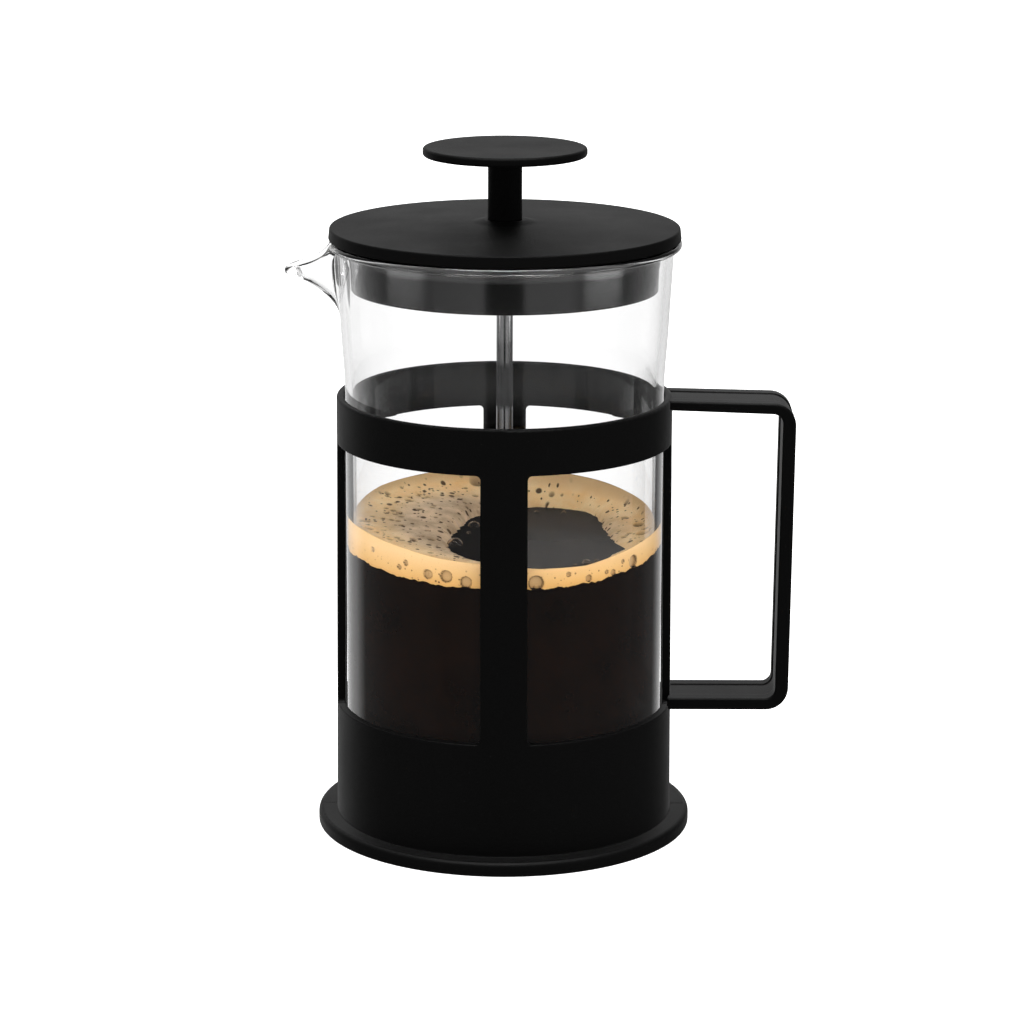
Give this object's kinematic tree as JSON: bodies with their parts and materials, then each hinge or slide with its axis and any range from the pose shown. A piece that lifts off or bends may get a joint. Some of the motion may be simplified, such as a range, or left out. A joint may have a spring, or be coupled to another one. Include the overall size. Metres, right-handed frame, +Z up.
{
  "type": "french press",
  "caption": "One-litre french press: glass beaker in a black plastic holder with a strap handle, and a lid with a press-down steel filter plunger.",
  "frame": {"origin": "on the beaker's axis, on the surface that the holder stands on", "axes": "+Z up along the beaker's axis, +X towards the handle, -X towards the spout"},
  "size_m": [0.1561, 0.116, 0.212],
  "materials": {
    "holder_plastic": "matte black polypropylene, fine moulded grain",
    "lid_plastic": "satin black polypropylene",
    "collar_plastic": "smooth black polypropylene",
    "bushing_plastic": "smooth black acetal",
    "beaker_glass": "clear borosilicate, fire-polished",
    "rod_steel": "polished stainless steel",
    "filter_steel": "pressed stainless steel",
    "spring_steel": "drawn stainless wire",
    "screen_steel": "woven stainless wire",
    "insert_brass": "turned"
  },
  "bodies": {
    "holder": {"holder_frame": "holder_plastic", "handle": "holder_plastic"},
    "beaker": {"beaker": "beaker_glass"},
    "lid_guide": {"lid_bushing": "bushing_plastic"},
    "lid": {"lid_cap": "lid_plastic", "lid_collar": "collar_plastic"},
    "plunger": {"plunger_rod": "rod_steel", "rod_stop_collar": "rod_steel"},
    "knob": {"knob": "lid_plastic", "knob_insert": "insert_brass"},
    "filter": {"cross_plate_nut": "filter_steel", "cross_plate": "filter_steel", "mesh_screen": "screen_steel", "mesh_eyelet": "filter_steel", "spiral_plate": "filter_steel", "rim_spring": "spring_steel"}
  },
  "joints": [
    {"name": "beaker_lift", "type": "slide", "parent": "holder", "child": "beaker", "axis": [0, 0, 1], "range_m": [0, 0.14]},
    {"name": "lid_lift", "type": "slide", "parent": "beaker", "child": "lid_guide", "axis": [0, 0, 1], "range_m": [0, 0.175]},
    {"name": "lid_turn", "type": "hinge", "parent": "lid_guide", "child": "lid", "pos_m": [0, 0, 0.187], "axis": [0, 0, 1], "continuous": true},
    {"name": "plunger_slide", "type": "slide", "parent": "lid_guide", "child": "plunger", "axis": [0, 0, 1], "range_m": [0, 0.135]},
    {"name": "knob_unscrew", "type": "hinge", "parent": "plunger", "child": "knob", "pos_m": [0, 0, 0.2], "axis": [0, 0, 1], "continuous": true},
    {"name": "filter_unscrew", "type": "hinge", "parent": "plunger", "child": "filter", "pos_m": [0, 0, 0.02], "axis": [0, 0, 1], "continuous": true}
  ]
}
